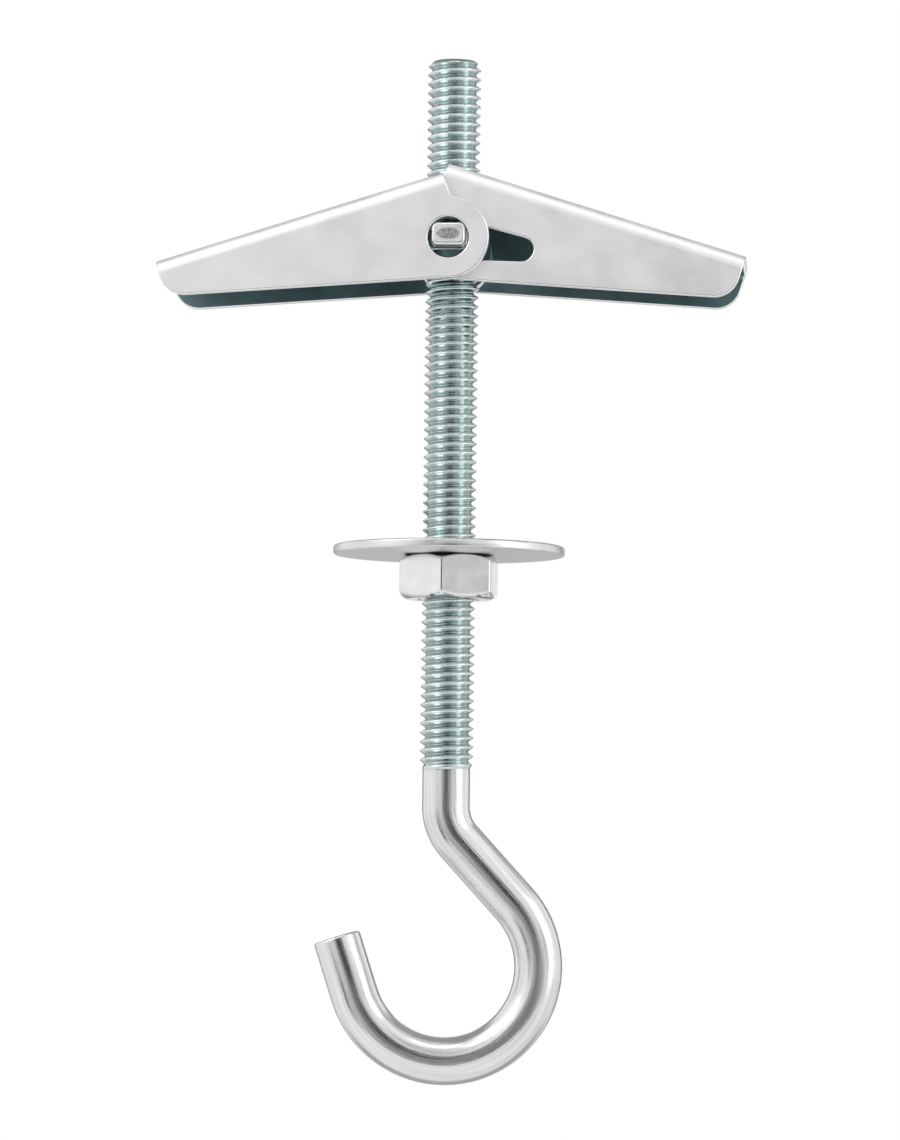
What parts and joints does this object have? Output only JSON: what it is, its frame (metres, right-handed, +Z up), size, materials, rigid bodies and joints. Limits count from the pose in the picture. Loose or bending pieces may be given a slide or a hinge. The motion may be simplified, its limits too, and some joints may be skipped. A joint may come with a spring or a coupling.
{
  "type": "swag hook",
  "caption": "Plated wire ceiling hook on a threaded rod, with sprung toggle wings that open above the ceiling and a wide washer and hexagon nut that clamp it from below.",
  "frame": {"origin": "on the rod's axis, in the washer's top face, which is the ceiling's lower face", "axes": "+Z up the rod, into the ceiling; the hook's plane and the open wings are in XZ, the hook opens towards -X, and the wings turn about Y"},
  "size_m": [0.064, 0.0252, 0.1115],
  "materials": {
    "plated_wire": "bright zinc plate on rolled thread and drawn wire",
    "plated_washer": "satin zinc plate, stamped",
    "plated_nut": "bright zinc plate",
    "plated_strip": "bright zinc plate, worn at the tabs",
    "plated_sheet": "satin zinc plate on folded sheet",
    "spring_wire": "bright drawn spring wire"
  },
  "bodies": {
    "hook": {"hook": "plated_wire"},
    "toggle": {"trunnion_nut": "plated_strip", "torsion_spring": "spring_wire"},
    "outer_wing": {"outer_wing": "plated_sheet"},
    "inner_wing": {"inner_wing": "plated_sheet"},
    "washer": {"washer": "plated_washer"},
    "hex_nut": {"hex_nut": "plated_nut"}
  },
  "joints": [
    {"name": "toggle_travel", "type": "slide", "parent": "hook", "child": "toggle", "axis": [0, 0, 1], "range_m": [0, 0.018]},
    {"name": "outer_wing_fold", "type": "hinge", "parent": "toggle", "child": "outer_wing", "pos_m": [0, 0, 0.033], "axis": [0, -1, 0], "range_deg": [0, 78], "stiffness_Nm_per_rad": 0.03, "springref_deg": -57.3, "deforming": ["torsion_spring"]},
    {"name": "inner_wing_fold", "type": "hinge", "parent": "toggle", "child": "inner_wing", "pos_m": [0, 0, 0.033], "axis": [0, 1, 0], "range_deg": [0, 79], "stiffness_Nm_per_rad": 0.03, "springref_deg": -57.3, "deforming": ["torsion_spring"]},
    {"name": "washer_travel", "type": "slide", "parent": "hook", "child": "washer", "axis": [0, 0, 1], "range_m": [-0.017, 0]},
    {"name": "nut_turn", "type": "hinge", "parent": "washer", "child": "hex_nut", "pos_m": [0, 0, 0], "axis": [0, 0, 1], "range_deg": [-6125, 0]}
  ],
  "couplings": [
    {"joint": "nut_turn", "follows": "washer_travel", "rad_per_m": 6283.2}
  ]
}
